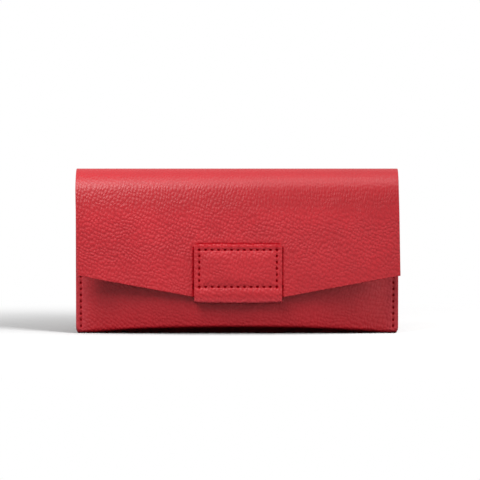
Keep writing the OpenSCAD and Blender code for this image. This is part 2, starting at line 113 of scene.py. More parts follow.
stitch_pitch = 3.65 * MM
seam_inset = 3 * MM
seam_x = half_w - seam_inset
seam_start = 4.3 * MM
seam_count = 20
seam_holes = [seam_start + i * stitch_pitch for i in range(seam_count + 1)]
groove_r = 0.5 * MM
groove_depth = 0.2 * MM
hole_w = 0.65 * MM
hole_l = 1.0 * MM
hole_depth = 0.5 * MM
near_hole = [offset * MM for offset in (-1.2, -0.75, -0.4, -0.13, 0.13, 0.4, 0.75, 1.2)]
near_seam = [offset * MM for offset in (-1.3, -0.8, -0.5, -0.25, 0.0, 0.25, 0.5, 0.8, 1.3)]

grain_dark = (0.49, 0.009, 0.018, 1)
grain_light = (0.55, 0.012, 0.022, 1)
# The next four colours are painted light: a paler red as floor light reflected on the tab's turn and the
# seam margins, and darker reds as shade on the roll's top, in the grain's valleys, and in needle holes and
# pressed creases.
grain_painted_reflection = (0.6, 0.035, 0.05, 1)
grain_roll_shade = (0.36, 0.008, 0.013, 1)
grain_valley_shade = (0.27, 0.004, 0.008, 1)
grain_painted_shade = (0.17, 0.001, 0.003, 1)
grain_depth = 0.32 * MM
edge_dark = (0.42, 0.03, 0.04, 1)
edge_light = (0.56, 0.06, 0.07, 1)
flesh_dark = (0.2, 0.022, 0.025, 1)
flesh_light = (0.36, 0.06, 0.06, 1)


def feed(tree, node, **inputs):
    """Sets or links inputs of a node, named in words joined by _ or by number as i0, i1 and so on."""
    for name, value in inputs.items():
        socket = node.inputs[int(name[1:]) if name[1:].isdigit() else name.replace("_", " ")]
        if isinstance(value, bpy.types.NodeSocket):
            tree.links.new(value, socket)
        else:
            socket.default_value = value


def put(tree, kind, settings=None, **inputs):
    """Adds a node. Settings are its own options; an input is a value or the socket to link to it."""
    made = tree.nodes.new(kind)
    for name, value in (settings or {}).items():
        setattr(made, name, value)
    feed(tree, made, **inputs)
    return made


def calc(tree, operation, *values, kind="ShaderNodeMath"):
    """Output of a math node."""
    inputs = {f"i{i}": value for i, value in enumerate(values)}
    return put(tree, kind, {"operation": operation}, **inputs).outputs[0]


def calc_vector(tree, operation, *values):
    """Output of a vector math node."""
    return calc(tree, operation, *values, kind="ShaderNodeVectorMath")


def ramp(tree, value, start, end, low=0.0, high=1.0):
    """Value eased from low to high as it runs from start to end."""
    made = put(tree, "ShaderNodeMapRange", {"interpolation_type": "SMOOTHSTEP"},
               Value=value, From_Min=start, From_Max=end, To_Min=low, To_Max=high)
    return made.outputs["Result"]


def band(tree, value, start, full, fading, end):
    """Rises from 0 to 1 between start and full, and falls back to 0 between fading and end."""
    return calc(tree, "MULTIPLY", ramp(tree, value, start, full), ramp(tree, value, end, fading))


def mixed(tree, share, a, b):
    """Colour between a and b, which are inputs 6 and 7 of a mix node."""
    return put(tree, "ShaderNodeMix", {"data_type": "RGBA"}, i0=share, i6=a, i7=b).outputs[2]


def cloudy(tree, place, scale, detail):
    """Soft noise between 0 and 1."""
    return put(tree, "ShaderNodeTexNoise", Vector=place, Scale=scale, Detail=detail).outputs["Fac"]


def object_place(tree):
    """Place in the frame, in metres."""
    return put(tree, "ShaderNodeTexCoord").outputs["Object"]


def flat_place(tree):
    """Place on the flat sheet, in millimetres."""
    return put(tree, "ShaderNodeUVMap", {"uv_map": "flat_mm"}).outputs[0]


def bumped(tree, height, depth):
    """Normal of a surface with that height, depth metres deep."""
    return put(tree, "ShaderNodeBump", Height=height, Distance=depth, Strength=1.0).outputs[0]


def shader_group(name, inputs, outputs):
    """Empty node group with its sockets; returns the tree, its input node and its output node."""
    tree = bpy.data.node_groups.new(name, "ShaderNodeTree")
    for socket, kind in inputs.items():
        tree.interface.new_socket(socket, in_out="INPUT", socket_type=kind)
    for socket in outputs:
        tree.interface.new_socket(socket, in_out="OUTPUT", socket_type="NodeSocketFloat")
    return tree, tree.nodes.new("NodeGroupInput"), tree.nodes.new("NodeGroupOutput")


def new_material(name):
    """New material, its node tree and its Principled shader."""
    material = bpy.data.materials.new(name)
    material.use_nodes = True
    return material, material.node_tree, material.node_tree.nodes["Principled BSDF"]


def pebble_layer(tree, place, length, height, slope):
    """Height of rounded pebbles of that length and height in millimetres, lying at a slope in degrees."""
    drawn = put(tree, "ShaderNodeMapping", Vector=place, Rotation=(0, 0, math.radians(slope)),
                Scale=(1 / length, 1 / height, 1)).outputs[0]
    cells = put(tree, "ShaderNodeTexVoronoi", {"voronoi_dimensions": "2D", "feature": "F1"},
                Vector=drawn, Scale=1.0, Randomness=0.6)
    return ramp(tree, cells.outputs["Distance"], 0.0, 0.8, low=1.0, high=0.0)


def pebbled_grain():
    """Leather grain in flat millimetres: pebbles that lie along the hide or, where Upright, across it."""
    tree, given, made = shader_group(
        "pebbled_grain", {"Place": "NodeSocketVector", "Upright": "NodeSocketFloat"}, ("Height", "Tone"))
    flat = given.outputs["Place"]
    wander = put(tree, "ShaderNodeTexNoise", Vector=flat, Scale=0.07, Detail=1.0).outputs["Color"]
    centred = calc_vector(tree, "SUBTRACT", wander, (0.5, 0.5, 0.5))
    place = calc_vector(tree, "MULTIPLY_ADD", centred, (5.0, 5.0, 5.0), flat)
    lying = pebble_layer(tree, place, length=1.8, height=2.25, slope=20)
    upright = pebble_layer(tree, place, length=1.4, height=2.6, slope=0)
    coarse = put(tree, "ShaderNodeMix", i0=given.outputs["Upright"], i2=lying, i3=upright).outputs[0]
    fine = pebble_layer(tree, place, length=0.9, height=0.8, slope=0)
    pores = cloudy(tree, flat, 5.0, 2.0)
    height = calc(tree, "MULTIPLY_ADD", fine, 0.1, coarse)
    height = calc(tree, "MULTIPLY_ADD", pores, 0.2, height)
    feed(tree, made, Height=height, Tone=cloudy(tree, flat, 0.05, 3.0))
    return tree


grain_group = pebbled_grain()


def grain_material():
    """Red grain side of the hide. Its places are millimetres of the flat hide from the roll's foot behind.

    They are above 0 down the back and up the front, and below 0 over the roll, down the flap and on the tab.
    """
    material, tree, shader = new_material("hide_grain")
    place = flat_place(tree)
    parts = put(tree, "ShaderNodeSeparateXYZ", Vector=place)
    sideways, along = parts.outputs["X"], parts.outputs["Y"]
    # hole reads the painted shade of needle holes and of the creases round the tab.
    hole = put(tree, "ShaderNodeAttribute", {"attribute_name": "painted_shade"}).outputs["Fac"]
    below_roll = band(tree, along, -56.0, -44.0, -30.0, -20.0)
    on_ridge = band(tree, along, -33.0, -27.0, -10.0, -4.0)
    # Painted reflection: the tab's turn and the seam margins low on the hide are painted paler, as floor
    # light reflected on them.
    tab_turn_reflection = band(tree, along, -243.0, -238.0, -234.0, -228.0)
    margin_reflection = calc(tree, "MULTIPLY", ramp(tree, along, 60.0, 90.0),
                       ramp(tree, calc(tree, "ABSOLUTE", sideways), 85.0, 92.0, low=0.0, high=0.7))

    upright = calc(tree, "MULTIPLY", ramp(tree, sideways, -10.0, 60.0), below_roll)
    grain = put(tree, "ShaderNodeGroup", {"node_tree": grain_group}, Place=place, Upright=upright)
    height = grain.outputs["Height"]
    smooth_roll = calc(tree, "MULTIPLY", band(tree, along, -64.0, -27.0, -10.0, -4.0), 0.76)
    smooth_tab = ramp(tree, sideways, -140.0, -160.0, low=0.0, high=0.25)
    smooth_tip = ramp(tree, along, -70.0, -92.0, low=0.0, high=0.25)
    smoothed = calc(tree, "MAXIMUM", calc(tree, "MAXIMUM", smooth_roll, smooth_tab), smooth_tip)
    relief = calc(tree, "MULTIPLY", ramp(tree, along, 70.0, 105.0, low=1.0, high=0.5),
                  calc(tree, "SUBTRACT", 1.0, smoothed))

    colour = mixed(tree, ramp(tree, grain.outputs["Tone"], 0.3, 0.7), grain_dark, grain_light)
    # Painted reflection of the floor on the tab's turn and the seam margins.
    colour = mixed(tree, calc(tree, "MAXIMUM", tab_turn_reflection, margin_reflection), colour, grain_painted_reflection)
    # Painted shade: the roll's upturned top and the band below it are painted darker.
    roll_shade = calc(tree, "MAXIMUM", calc(tree, "MULTIPLY", on_ridge, 0.7),
                   calc(tree, "MULTIPLY", below_roll, 0.6))
    colour = mixed(tree, roll_shade, colour, grain_roll_shade)
    # Painted shade: the grain's valleys are darkened where the relief is full.
    valley_shade = calc(tree, "MULTIPLY", relief, ramp(tree, height, 0.1, 1.0, low=0.25, high=0.0))
    colour = mixed(tree, valley_shade, colour, grain_valley_shade)
    # Painted shade in needle holes, in the crease round the tab and along the tab's top edge.
    colour = mixed(tree, ramp(tree, hole, 0.25, 0.8), colour, grain_painted_shade)
    polish = ramp(tree, height, 0.0, 1.4, low=0.54, high=0.42)
    feed(tree, shader, Base_Color=colour, Roughness=calc(tree, "MULTIPLY_ADD", below_roll, -0.08, polish),
         Specular_IOR_Level=ramp(tree, hole, 0.1, 0.5, low=0.5, high=0.0),
         Normal=bumped(tree, calc(tree, "MULTIPLY", height, relief), grain_depth))
    return material


def edge_material():
    """Painted cut edge of the hide."""
    material, tree, shader = new_material("hide_edge")
    dabs = cloudy(tree, object_place(tree), 900.0, 2.0)
    feed(tree, shader, Base_Color=mixed(tree, dabs, edge_dark, edge_light), Roughness=0.5,
         Specular_IOR_Level=0.4, Normal=bumped(tree, dabs, 0.08 * MM))
    return material


def flesh_material():
    """Napped flesh side of the hide."""
    material, tree, shader = new_material("hide_flesh")
    place = object_place(tree)
    nap = cloudy(tree, place, 1600.0, 3.0)
    brushed = cloudy(tree, place, 70.0, 2.0)
    shade = calc(tree, "MULTIPLY_ADD", nap, 0.5, calc(tree, "MULTIPLY", brushed, 0.5))
    feed(tree, shader, Base_Color=mixed(tree, ramp(tree, shade, 0.3, 0.7), flesh_dark, flesh_light),
         Roughness=0.95, Specular_IOR_Level=0.1, Normal=bumped(tree, nap, 0.2 * MM))
    return material


hide_grain = grain_material()
hide_edge = edge_material()
hide_flesh = flesh_material()
hide_materials = (hide_grain, hide_edge, hide_flesh)


def add_piece(name, bm, body, materials, nodes=()):
    """Makes a mesh an object on its body, for the CAD nodes it stands for."""
    mesh = bpy.data.meshes.new(name)
    for material in materials:
        mesh.materials.append(material)
    bmesh.ops.recalc_face_normals(bm, faces=bm.faces)
    if bm.calc_volume(signed=True) < 0:
        bmesh.ops.reverse_faces(bm, faces=bm.faces)
    for face in bm.faces:
        face.smooth = True
    bm.to_mesh(mesh)
    bm.free()
    piece = bpy.data.objects.new(name, mesh)
    scene.collection.objects.link(piece)
    if nodes:
        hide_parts(*nodes)
    if body:
        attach(piece, body)
    return piece


def verts_of(parts):
    """Vertices among the parts that an operator gives back."""
    return [part for part in parts if isinstance(part, bmesh.types.BMVert)]


def rounded(bm, edges, radius, segments=3):
    """Rounds edges of a mesh."""
    bmesh.ops.bevel(bm, geom=edges, offset=radius, segments=segments, profile=0.5, affect="EDGES",
                    material=-1)


def bent_sheet(columns, rows, bend, thickness, joined=(), rounding=edge_r):
    """Cuts a sheet flat on a grid, gives it its thickness, bends it and rounds its free edges.

    bend(column, row, below) gives a point below the outer face, its place on the flat sheet and its
    painted shade, which darkens needle holes and pressed creases. Ends named in joined, "first" or
    "last" row, meet another piece.
    Faces take material 0 outside, 1 along the cut edges and 2 inside.
    """
    bm = bmesh.new()
    flat_layer = bm.loops.layers.uv.new("flat_mm")
    shade_layer = bm.verts.layers.float.new("painted_shade")
    across, along = len(columns) - 1, len(rows) - 1
    bmesh.ops.create_grid(bm, x_segments=across, y_segments=along, size=0.5)
    inner = set(verts_of(bmesh.ops.extrude_face_region(bm, geom=bm.faces[:], use_keep_orig=True)["geom"]))
    flat, end_rows = {}, {"first": set(), "last": set()}
    for vert in bm.verts:
        i = round((vert.co.x + 0.5) * across)
        j = round((vert.co.y + 0.5) * along)
        below = thickness if vert in inner else 0.0
        vert.co, flat[vert], vert[shade_layer] = bend(columns[i], rows[j], below)
        if j in (0, along):
            end_rows["last" if j else "first"].add(vert)
    open_ends = [end_rows[end] for end in joined]
    free_edges = []
    for face in bm.faces:
        inside = sum(vert in inner for vert in face.verts)
        face.material_index = 0 if inside == 0 else 2 if inside == len(face.verts) else 1
        for loop in face.loops:
            loop[flat_layer].uv = flat[loop.vert]
    for edge in bm.edges:
        if len({face.material_index for face in edge.link_faces}) > 1:
            if any(end.issuperset(edge.verts) for end in open_ends):
                edge.smooth = False
            else:
                free_edges.append(edge)
    bmesh.ops.recalc_face_normals(bm, faces=bm.faces)
    rounded(bm, free_edges, rounding)
    return bm


def spread(low, high, step):
    """Evenly spaced places from low to high, about step apart."""
    count = max(1, round((high - low) / step))
    return [low + (high - low) * i / count for i in range(count + 1)]


def with_holes(low, high, step, holes):
    """Places from low to high, close together at the needle holes."""
    near = [hole + offset for hole in holes for offset in near_hole]
    near = [place for place in near if low < place < high]
    clear = 0.45 * step
    far = [place for place in spread(low, high, step)
           if place in (low, high) or all(abs(place - other) > clear for other in near)]
    return sorted(near + far)


def needle(across, along, beyond=0.0):
    """Depth and painted shade at a distance across and along a row of stitches from its nearest needle hole.
    """
    row = math.exp(-(across / groove_r) ** 2 - (beyond / groove_r) ** 2)
    hole = math.exp(-(across / hole_w) ** 2 - (along / hole_l) ** 2)
    return groove_depth * row + hole_depth * hole, hole


def nearest(place, holes):
    """Distance to the nearest hole of an even row, and how far the place lies beyond its ends."""
    step = holes[1] - holes[0]
    i = min(max(round((place - holes[0]) / step), 0), len(holes) - 1)
    return place - holes[i], max(holes[0] - place, place - holes[-1], 0.0)


def eased(value, start, end):
    """0 before start, 1 after end and a smooth rise between."""
    share = min(max((value - start) / (end - start), 0.0), 1.0)
    return share * share * (3 - 2 * share)


def bulge(x, half, power):
    """1 at the middle, 0 past the half width."""
    return 1 - (abs(x) / half) ** power if abs(x) < half else 0.0


def ripple(x, z, per_x, per_z, seed=0.0):
    """Unevenness of soft leather between -1 and 1, with about so many waves a metre each way."""
    return noise.noise(Vector((x * per_x, seed, z * per_z)))


def leg_of(row):
    """Leg that a row of a path with three legs lies in, and its share of that leg."""
    leg = min(int(row), 2)
    return leg, row - leg


def turn_rows(steps):
    """Rows between the ends of a path's second leg."""
    return [1 + i / steps for i in range(1, steps)]


def body_gap(x):
    """Room between the front and the back hide."""
    return seam_gap + (belly_gap - seam_gap) * bulge(x, belly_half, belly_power)


def tuck(x, z):
    """How far the front panel draws in towards the bottom at a height."""
    return foot_in * bulge(x, belly_half, belly_power) * max(0.0, 1 - z / foot_z) ** foot_power


def fold_shape(x):
    """Centres of the bottom's back turn and front crease, the crease's radius, the angle where they part."""
    gap = body_gap(x)
    reach = max(0.0, abs(x) - (half_w - corner_r))
    low = corner_r - math.sqrt(max(0.0, corner_r ** 2 - reach ** 2))
    front_r = seam_r + (crease_r - seam_r) * bulge(x, belly_half, belly_power)
    back = Vector((seam_r, low + seam_r))
    rise = fold_lift * (gap - seam_gap) + low + front_r
    front = Vector((gap + 2 * hide_t - front_r - tuck(x, rise), rise))
    away = front - back
    turn = 1.5 * math.pi
    if away.length > least_gap:
        turn = 2 * math.pi + math.atan2(away.y, away.x) - math.acos((seam_r - front_r) / away.length)
    return back, front, front_r, turn


def shell_bend(x, row, below):
    """Row runs from 0 down the back to 1, round the bottom to 2 and up the front to 3."""
    back, front, front_r, turn = fold_shape(x)
    back_arc = seam_r * (turn - math.pi)
    front_arc = front_r * (2 * math.pi - turn)
    slant = math.sqrt(max(0.0, (front - back).length_squared - (front_r - seam_r) ** 2))
    bottom = back_arc + slant + front_arc
    leg, share = leg_of(row)
    if leg == 1:
        along = share * bottom
        if along < back_arc:
            centre, radius, angle, ahead = back, seam_r, math.pi + along / seam_r, 0.0
        elif along < back_arc + slant:
            centre, radius, angle, ahead = back, seam_r, turn, along - back_arc
        else:
            centre, radius, angle, ahead = front, front_r, turn + (along - back_arc - slant) / front_r, 0.0
        forward = centre.x + (radius - below) * math.cos(angle) - ahead * math.sin(angle)
        up = centre.y + (radius - below) * math.sin(angle) + ahead * math.cos(angle)
        return Vector((x, back_y - forward, up)), (x / MM, (roll_z - back.y + along) / MM), 0.0
    z = roll_z + (back.y - roll_z) * share if leg == 0 else front.y + (mouth_z - front.y) * share
    sink, hole = 0.0, 0.0
    if below == 0.0:
        sink, hole = needle(abs(x) - seam_x, *nearest(z, seam_holes))
    if leg == 0:
        return Vector((x, back_y - below - sink, z)), (x / MM, (roll_z - z) / MM), hole
    waves = front_ripple * ripple(x, z, 22, 30) * (1 - (x / half_w) ** 2)
    waves *= eased(z - front.y, 0.0, ripple_fade)
    forward = body_gap(x) + 2 * hide_t - below - sink - tuck(x, z) + waves
    length = roll_z - back.y + bottom + z - front.y
    return Vector((x, back_y - forward, z)), (x / MM, length / MM), hole


rim_w = 0.9 * MM
column_step = 2.6 * MM
row_step = 2.0 * MM
right_columns = [seam_x + offset for offset in near_seam] + [half_w - rim_w, half_w]
left_columns = [-x for x in reversed(right_columns)]
shell_columns = left_columns + spread(-seam_x + column_step, seam_x - column_step, column_step)
shell_columns += right_columns
back_zs = with_holes(seam_r, roll_z, row_step, seam_holes)
front_zs = with_holes(seam_r, mouth_z, row_step, seam_holes)
shell_rows = [(roll_z - z) / (roll_z - seam_r) for z in reversed(back_zs)] + turn_rows(24)
shell_rows += [2 + (z - seam_r) / (mouth_z - seam_r) for z in front_zs]
shell = bent_sheet(shell_columns, shell_rows, shell_bend, hide_t, joined=("first",))
add_piece("outer_hide", shell, "wallet_body", hide_materials, ["shell_hide"])


# Roll: the same hide bent over the top in one soft curve, as wide as the flap. It stays loose from
# the layers below.
flap_half = 94.1 * MM
roll_y = back_y - roll_r
lean_z = 68 * MM
lean_most = 2.0 * MM
angle_step = 2.5
angle_rim = 0.1
roll_columns = [-flap_half, -flap_half + rim_w]
roll_columns += spread(-flap_half + column_step, flap_half - column_step, column_step)
roll_columns += [flap_half - rim_w, flap_half]


def lean(z):
    """How far the front of the roll and the flap below it lie back from upright at a height."""
    return lean_most * (max(0.0, z - lean_z) / (roll_z - lean_z)) ** 2


def on_roll(x, angle, below):
    """Point of the roll: angle 0 is at the back, 90 on top and 180 at the front."""
    turn = math.radians(angle)
    radius = roll_r - below
    z = roll_z + radius * math.sin(turn)
    y = roll_y + radius * math.cos(turn) + lean(z) * (1 - math.cos(turn)) / 2
    return Vector((x, y, z)), (x / MM, -roll_r * turn / MM), 0.0


def roll_strip(name, start, end, nodes):
    """Part of the roll, from one angle to the next."""
    rows = [start, start + angle_rim] + spread(start + angle_step, end - angle_step, angle_step)
    rows += [end - angle_rim, end]
    strip = bent_sheet(roll_columns, rows, on_roll, hide_t, joined=("first", "last"))
    piece = add_piece(name, strip, None, hide_materials, nodes)
    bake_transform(piece)


roll_strip("roll_behind", 0, 60, ["fold_strip_back"])
roll_strip("roll_top", 60, 120, ["fold_strip_front"])
roll_strip("roll_before", 120, 180, [])


# Flap: the end of the hide, hanging from the roll a little askew to a shallow pointed lower edge. Its
# sides lie back towards the flat seams, and the tab that is sewn on it presses a crease round itself, which
# is darkened with painted shade.
flap_skew = 1.2 * MM
flap_corner_z = 35.1 * MM
flap_tip_z = 17.9 * MM
flap_slope = (flap_corner_z - flap_tip_z) / flap_half
flap_ripple = 0.4 * MM
hang_start = 2 * MM
hang_full = 50 * MM
hang_back = 2.2 * MM
hang_power = 2.5


def box_of(node):
    """Lower and upper corner of a CAD node."""
    return [Vector(corner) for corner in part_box(node)]


tab_low, tab_high = box_of("closing_tab")
tab_middle = (tab_low.x + tab_high.x) / 2
tab_half = (tab_high.x - tab_low.x) / 2
tab_top_margin = 2.4 * MM
tab_sewn_h = 21.6 * MM
tab_upper = tab_high.z - tab_top_margin
tab_lower = tab_upper - tab_sewn_h
press_r = 0.6 * MM
press_rise = 1.3 * MM
press_wander = 0.5 * MM
press_out = 0.4 * MM
press_depth = 0.4 * MM
# Painted shade: the crease round the tab is darkened, more on the left, where the tab's shadow falls;
# press_left and press_right set its depth and its shade on each side.
press_left = 0.7
press_right = 0.5
press_pulled = 0.4
press_top = 0.6
press_shade = 0.85


def tab_press(x, z):
    """Share of the crease that the sewn tab presses into the flap along its sides and above its top edge; it
    sets the crease's depth and its painted shade.
    """
    beside = abs(x - tab_middle)
    rise = press_rise + press_wander * ripple(x, 0.0, 160, 0, seed=0.3)
    sideways = (beside - tab_half - press_out) / (1.4 * press_r)
    upward = (z - tab_high.z - rise) / press_r
    pulled = math.exp(-((z - tab_lower) / (2 * press_r)) ** 2)
    side = (press_left if x < tab_middle else press_right) + press_pulled * pulled
    side *= math.exp(-sideways ** 2) * eased(tab_high.z + 2 * press_r - z, 0.0, 4 * press_r)
    top = math.exp(-upward ** 2) * eased(tab_half - beside, 0.0, 3 * press_r)
    return max(side, press_top * top)


def flap_bend(x, share, below):
    """Share runs down the flap from 0 at the roll to 1 at the lower edge."""
    edge_z = max(flap_low.z, flap_tip_z + flap_slope * abs(x))
    z = roll_z + (edge_z - roll_z) * share
    hang = eased(roll_z - z, hang_start, hang_full)
    back = hang_back * (abs(x) / flap_half) ** hang_power * hang
    waves = flap_ripple * ripple(x, z, 18, 26, seed=3.7) * hang
    shift = flap_skew * min((roll_z - z) / (roll_z - flap_corner_z), 1.0)
    press = tab_press(x + shift, z) if below == 0.0 else 0.0
    y = flap_low.y + below + back + waves + lean(z) + press_depth * press
    return Vector((x + shift, y, z)), (x / MM, (-roll_r * math.pi - roll_z + z) / MM), press_shade * press


flap_step = 1.6 * MM
press_step = 0.3 * MM
flap_columns = [-flap_half, -flap_half + rim_w]
for low, high, step in ((-flap_half + 2 * MM, tab_low.x - 3 * MM, flap_step),
                        (tab_low.x - 2 * MM, tab_low.x + 1 * MM, press_step),
                        (tab_low.x + 2 * MM, tab_high.x - 3 * MM, flap_step),
                        (tab_high.x - 2 * MM, tab_high.x + 1 * MM, press_step),
                        (tab_high.x + 2 * MM, flap_half - 2 * MM, flap_step)):
    flap_columns += spread(low, high, step)
flap_columns += [flap_half - rim_w, flap_half]
flap_rows = [0.0, 0.002] + spread(0.02, 0.44, 0.025) + spread(0.45, 0.53, 0.005)
flap_rows += spread(0.55, 0.97, 0.025) + [0.985, 1.0]
flap = bent_sheet(flap_columns, flap_rows, flap_bend, hide_t, joined=("first",))
add_piece("flap", flap, "flap", hide_materials, ["flap_leaf"])


# Closing tab: a strip of the same leather, skived thinner, folded round the flap's tip over the
# magnet and sewn through it round a rectangle, so that it swells between the stitches.
tab_t = 1.2 * MM
tab_edge_r = 0.35 * MM
tab_fold_r = (tab_high.y - tab_low.y) / 2
tab_mid_y = (tab_high.y + tab_low.y) / 2
tab_turn_z = tab_low.z + tab_fold_r
tab_leaf = tab_high.z - tab_turn_z
tab_side_margin = 3 * MM
tab_left = tab_low.x + tab_side_margin
tab_right = tab_high.x - tab_side_margin
tab_columns_of_holes = spread(tab_left, tab_right, stitch_pitch)
tab_rows_of_holes = spread(tab_lower, tab_upper, stitch_pitch)
tab_flat = Vector((-200, -200))
tab_swell = 0.5 * MM
tab_swell_rise = 5 * MM
tab_lip_swell = 0.4 * MM
tab_top_lift = 0.3 * MM
tab_rim_h = 0.7 * MM
tab_rim_shade = 0.45
tab_sag = 0.5 * MM
tab_step = 1.2 * MM


def tab_relief(x, z):
    """Swelling, needle depth and painted shade, in the needle holes and along the top edge, on one leaf of
    the tab.
    """
    inside = min(x - tab_left, tab_right - x, z - tab_lower, tab_upper - z)
    swell = tab_swell * eased(inside, 0.0, tab_swell_rise)
    if z < tab_lower:
        swell = tab_lip_swell * math.sin(math.pi * (tab_lower - z) / (tab_lower - tab_turn_z)) ** 2
    swell += tab_top_lift * eased(z, tab_upper, tab_high.z)
    sinks = [needle(z - row_z, *nearest(x, tab_columns_of_holes)) for row_z in (tab_lower, tab_upper)]
    sinks += [needle(x - column_x, *nearest(z, tab_rows_of_holes)) for column_x in (tab_left, tab_right)]
    # Painted shade along the tab's top edge, where it meets the flap.
    rim = tab_rim_shade * eased(z, tab_high.z - tab_rim_h, tab_high.z)
    return swell, max(sink for sink, _ in sinks), max(rim, *(hole for _, hole in sinks))


def tab_bend(x, row, below):
    """Row runs from 0 down the front leaf to 1, round the fold to 2 and up the back leaf to 3."""
    leg, share = leg_of(row)
    sag = tab_sag * bulge(x - tab_middle, tab_half, 2)
    if leg == 1:
        angle = math.pi * (1 + share)
        radius = tab_fold_r - below
        y = tab_mid_y + radius * math.cos(angle)
        z = tab_turn_z - sag + radius * math.sin(angle)
        length = tab_leaf + tab_fold_r * math.pi * share
        hole = 0.0
    else:
        z = tab_high.z - tab_leaf * share if leg == 0 else tab_turn_z + tab_leaf * share
        swell, sink, hole = tab_relief(x, z) if below == 0.0 else (0.0, 0.0, 0.0)
        z -= sag * eased(z, tab_lower, tab_turn_z)
        y = tab_low.y + below - swell + sink if leg == 0 else tab_high.y - below - sink
        length = tab_leaf * share if leg == 0 else tab_leaf * (1 + share) + tab_fold_r * math.pi
    return Vector((x, y, z)), (x / MM + tab_flat.x, -length / MM + tab_flat.y), hole


tab_columns = with_holes(tab_low.x, tab_high.x, tab_step, tab_columns_of_holes)
tab_zs = with_holes(tab_turn_z, tab_high.z, tab_step, tab_rows_of_holes)
tab_rows = [(tab_high.z - z) / tab_leaf for z in reversed(tab_zs)] + turn_rows(14)
tab_rows += [2 + (z - tab_turn_z) / tab_leaf for z in tab_zs]
tab = bent_sheet(tab_columns, tab_rows, tab_bend, tab_t, rounding=tab_edge_r)
add_piece("closing_tab_leather", tab, "flap", hide_materials, ["closing_tab"])


# Tab stitches: waxed red thread, saddle stitched from hole to hole round the tab's rectangle, on the
# front leaf and on the back one. Each stitch lies sunk in the leather and dips into both its holes.
thread_r = 0.28 * MM
thread_sides = 8
thread_sink = 0.3 * MM
thread_dips = ((0.14, -0.6), (0.24, -0.25), (0.36, 0.0), (0.64, 0.0), (0.76, -0.25), (0.86, -0.6))
thread_dark = (0.42, 0.012, 0.018, 1)
thread_light = (0.54, 0.022, 0.028, 1)
FORWARD = Vector((0, -1, 0))
BACKWARD = Vector((0, 1, 0))


def thread_material():
    """Waxed red thread."""
    material, tree, shader = new_material("thread_red")
    strands = cloudy(tree, object_place(tree), 2500.0, 1.0)
    feed(tree, shader, Base_Color=mixed(tree, strands, thread_dark, thread_light), Roughness=0.6,
         Specular_IOR_Level=0.3, Normal=bumped(tree, strands, 0.05 * MM))
    return material


thread_red = thread_material()


def edges_of(verts):
    """Edges that meet vertices."""
    return list({edge for vert in verts for edge in vert.link_edges})


def sewn(bars):
    """Bars of thread, each from one hole to the next with its outward direction, dipping into both holes."""
    bm = bmesh.new()
    for start, end, outward in bars:
        length = (end - start).length
        forward = (end - start) / length
        ring_turn = Matrix((outward.cross(forward), outward, forward)).transposed().to_4x4()
        places = [start + forward * length * share + outward * (drop * MM - thread_sink)
                  for share, drop in thread_dips]
        ring = bmesh.ops.create_circle(bm, cap_ends=True, segments=thread_sides, radius=thread_r,
                                       matrix=Matrix.Translation(places[0]) @ ring_turn)["verts"]
        rim = edges_of(ring)
        for before, after in zip(places, places[1:]):
            drawn = bmesh.ops.extrude_edge_only(bm, edges=rim)["geom"]
            moved = verts_of(drawn)
            bmesh.ops.translate(bm, vec=after - before, verts=moved)
            rim = [part for part in drawn if isinstance(part, bmesh.types.BMEdge)]
            rim = [edge for edge in rim if all(vert in moved for vert in edge.verts)]
        bmesh.ops.holes_fill(bm, edges=rim, sides=thread_sides)
    return bm


def bars_along(points, outward):
    """Bars from each point to the next."""
    return [(start, end, outward) for start, end in zip(points, points[1:])]


tab_bars = []
for face_y, outward in ((tab_low.y, FORWARD), (tab_high.y, BACKWARD)):
    for row_z in (tab_lower, tab_upper):
        tab_bars += bars_along([Vector((x, face_y, row_z)) for x in tab_columns_of_holes], outward)
    for column_x in (tab_left, tab_right):
        tab_bars += bars_along([Vector((column_x, face_y, z)) for z in tab_rows_of_holes], outward)
add_piece("tab_stitches", sewn(tab_bars), "flap", (thread_red,), ["tab_thread"])


# Side seams: the same thread through the front and back hide and every layer caught between them. Each
# seam shows its stitches on the front panel and on the back.
for side, x in (("left", -seam_x), ("right", seam_x)):
    seam_bars = bars_along([Vector((x, back_y - 2 * seam_r, z)) for z in seam_holes], FORWARD)
    seam_bars += bars_along([Vector((x, back_y, z)) for z in seam_holes], BACKWARD)
    add_piece(f"{side}_seam_stitches", sewn(seam_bars), "wallet_body", (thread_red,),
              [f"{side}_seam_thread"])


# Magnets: two plated discs that draw the flap shut, one let into the flap under the tab and one held
# behind the front panel by a moulded leather cup that is glued to the flesh side.
plate_grey = (0.6, 0.62, 0.64, 1)
lining_dark = (0.2, 0.016, 0.022, 1)
lining_light = (0.3, 0.028, 0.035, 1)
cup_low, cup_high = box_of("magnet_cup")
cup_r = (cup_high.x - cup_low.x) / 2
cup_bore_r = 9.1 * MM
cup_floor = 0.7 * MM
cup_depth = cup_high.y - cup_low.y
cup_rim_r = 0.3 * MM
sharp_angle = 1.0
quarter_turn = Matrix.Rotation(math.pi / 2, 4, "X")


def steel_material():
    """Plated magnet, lightly scuffed."""
    material, tree, shader = new_material("magnet_plate")
    scuffs = cloudy(tree, object_place(tree), 600.0, 4.0)
    feed(tree, shader, Base_Color=plate_grey, Metallic=1.0,
         Roughness=ramp(tree, scuffs, 0.3, 0.7, low=0.25, high=0.45))
    return material


def lining_material():
    """Thin smooth lining leather with a fine grain."""
    material, tree, shader = new_material("lining_leather")
    finer = calc_vector(tree, "MULTIPLY", flat_place(tree), (1.7, 1.7, 1.7))
    grain = put(tree, "ShaderNodeGroup", {"node_tree": grain_group}, Place=finer)
    height = grain.outputs["Height"]
    feed(tree, shader, Base_Color=mixed(tree, grain.outputs["Tone"], lining_dark, lining_light),
         Roughness=ramp(tree, height, 0.0, 1.4, low=0.6, high=0.48), Specular_IOR_Level=0.35,
         Normal=bumped(tree, height, 0.06 * MM))
    return material


magnet_plate = steel_material()
for node in ("flap_magnet", "keeper_magnet"):
    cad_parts[node].data.materials.clear()
    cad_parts[node].data.materials.append(magnet_plate)

